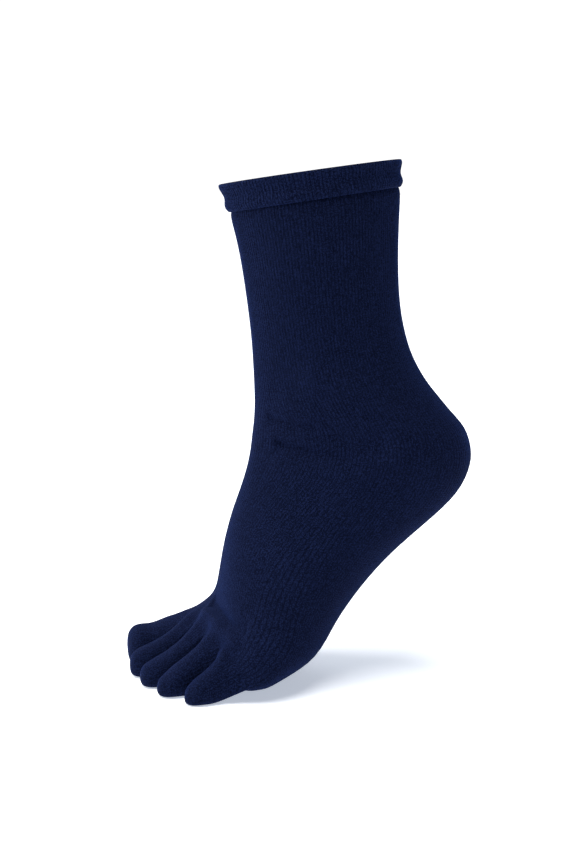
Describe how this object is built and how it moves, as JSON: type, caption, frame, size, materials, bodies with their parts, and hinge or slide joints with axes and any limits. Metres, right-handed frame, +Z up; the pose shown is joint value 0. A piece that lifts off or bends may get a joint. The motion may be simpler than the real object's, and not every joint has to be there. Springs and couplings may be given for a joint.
{
  "type": "toe sock",
  "caption": "Ribbed crew-height toe sock for the left foot, with a turned top band and a pocket for each toe, in the form it has on a foot raised on its toes.",
  "frame": {"origin": "middle of the leg opening, at the rim", "axes": "+Z up, as the raised foot wears it, -X towards the toes, -Y towards the little toe's side"},
  "size_m": [0.1825, 0.1098, 0.2707],
  "materials": {
    "knit": "matt ribbed cotton knit",
    "band": "matt double ribbed knit"
  },
  "bodies": {
    "root": {"cuff_welt": "band", "leg_tube": "knit", "heel_turn": "knit", "foot_tube": "knit", "toe_base": "knit", "big_toe_pocket": "knit", "second_toe_pocket": "knit", "middle_toe_pocket": "knit", "fourth_toe_pocket": "knit", "little_toe_pocket": "knit"}
  },
  "joints": []
}
